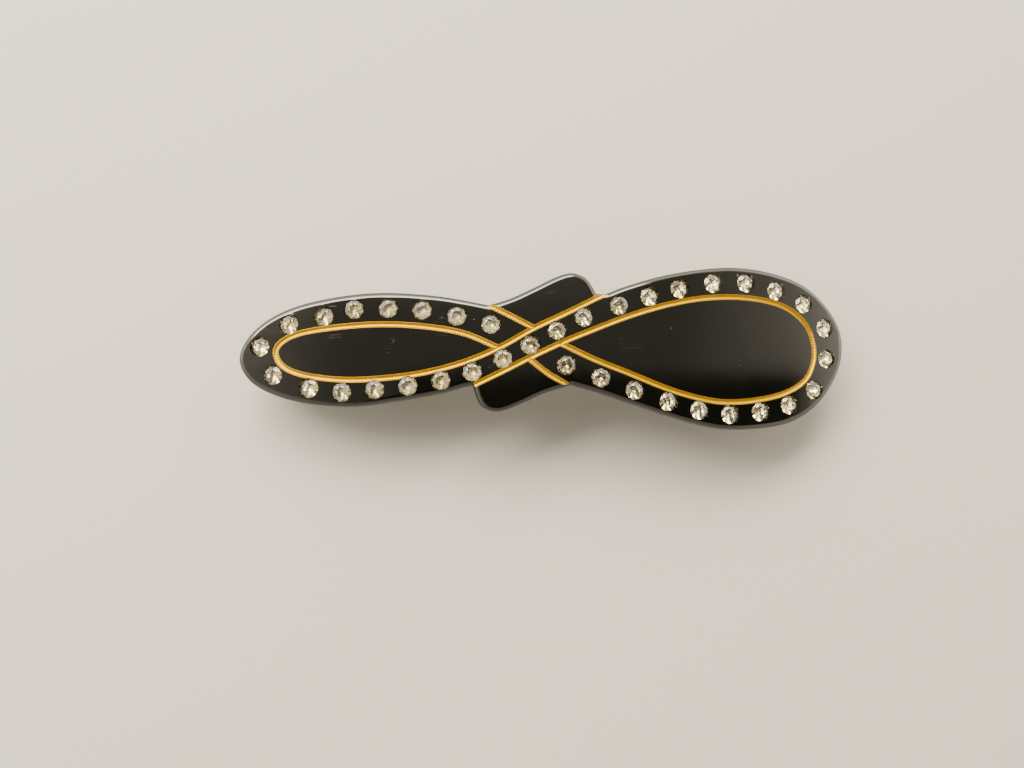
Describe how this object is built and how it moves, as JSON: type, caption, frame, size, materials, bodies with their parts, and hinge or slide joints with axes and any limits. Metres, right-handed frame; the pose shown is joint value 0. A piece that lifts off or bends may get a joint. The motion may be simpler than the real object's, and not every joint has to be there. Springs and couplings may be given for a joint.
{
  "type": "barrette",
  "caption": "Arched hair barrette: a figure-eight plate with engraved gold lines and round set stones, on a hinged spring clip with a squeeze latch.",
  "frame": {"origin": "on the surface it rests on, below the middle of the overall box", "axes": "+X along the barrette towards the clip's hinge, +Y across it, +Z out of the decorated face, which is up"},
  "size_m": [0.102, 0.0273, 0.0144],
  "materials": {
    "black_acetate": "polished black cellulose acetate, tumbled edges",
    "gold_paint": "satin gold paint in engraved grooves",
    "foiled_stone": "clear faceted glass with a silvered foil back",
    "nickel_steel": "bright nickel-plated spring steel"
  },
  "bodies": {
    "face": {"face_plate": "black_acetate", "gold_line_left_loop": "gold_paint", "gold_line_right_loop": "gold_paint", "gold_line_upper_band": "gold_paint", "gold_line_lower_band": "gold_paint", "stone_01": "foiled_stone", "stone_02": "foiled_stone", "stone_03": "foiled_stone", "stone_04": "foiled_stone", "stone_05": "foiled_stone", "stone_06": "foiled_stone", "stone_07": "foiled_stone", "stone_08": "foiled_stone", "stone_09": "foiled_stone", "stone_10": "foiled_stone", "stone_11": "foiled_stone", "stone_12": "foiled_stone", "stone_13": "foiled_stone", "stone_14": "foiled_stone", "stone_15": "foiled_stone", "stone_16": "foiled_stone", "stone_17": "foiled_stone", "stone_18": "foiled_stone", "stone_19": "foiled_stone", "stone_20": "foiled_stone", "stone_21": "foiled_stone", "stone_22": "foiled_stone", "stone_23": "foiled_stone", "stone_24": "foiled_stone", "stone_25": "foiled_stone", "stone_26": "foiled_stone", "stone_27": "foiled_stone", "stone_28": "foiled_stone", "stone_29": "foiled_stone", "stone_30": "foiled_stone", "stone_31": "foiled_stone", "stone_32": "foiled_stone", "stone_33": "foiled_stone", "stone_34": "foiled_stone", "stone_35": "foiled_stone", "stone_36": "foiled_stone", "stone_37": "foiled_stone", "base_bar": "nickel_steel", "fixing_pin_left": "nickel_steel", "fixing_pin_right": "nickel_steel", "hinge_pin": "nickel_steel", "latch_foot": "nickel_steel", "latch_rivet": "nickel_steel"},
    "arm": {"clasp_arm": "nickel_steel"},
    "tension_bar": {"tension_bar": "nickel_steel"},
    "latch_wing_front": {"latch_wing_front": "nickel_steel"},
    "latch_wing_rear": {"latch_wing_rear": "nickel_steel"}
  },
  "joints": [
    {"name": "clasp_arm_hinge", "type": "hinge", "parent": "face", "child": "arm", "pos_m": [0.038, 0, 0.00175], "axis": [0, -1, 0], "range_deg": [0, 105]},
    {"name": "tension_bar_flex", "type": "hinge", "parent": "face", "child": "tension_bar", "pos_m": [0.031, 0, 0.00825], "axis": [0, 1, 0], "range_deg": [0, 1.4], "stiffness_Nm_per_rad": 0.5},
    {"name": "latch_pinch_front", "type": "hinge", "parent": "face", "child": "latch_wing_front", "pos_m": [-0.03721, -0.00165, 0.00712], "axis": [0.9885, 0, 0.1514], "range_deg": [0, 8], "stiffness_Nm_per_rad": 0.05},
    {"name": "latch_pinch_rear", "type": "hinge", "parent": "face", "child": "latch_wing_rear", "pos_m": [-0.03721, 0.00165, 0.00712], "axis": [0.9885, 0, 0.1514], "range_deg": [-8, 0], "stiffness_Nm_per_rad": 0.05}
  ],
  "couplings": [
    {"joint": "latch_pinch_rear", "follows": "latch_pinch_front", "ratio": -1}
  ]
}
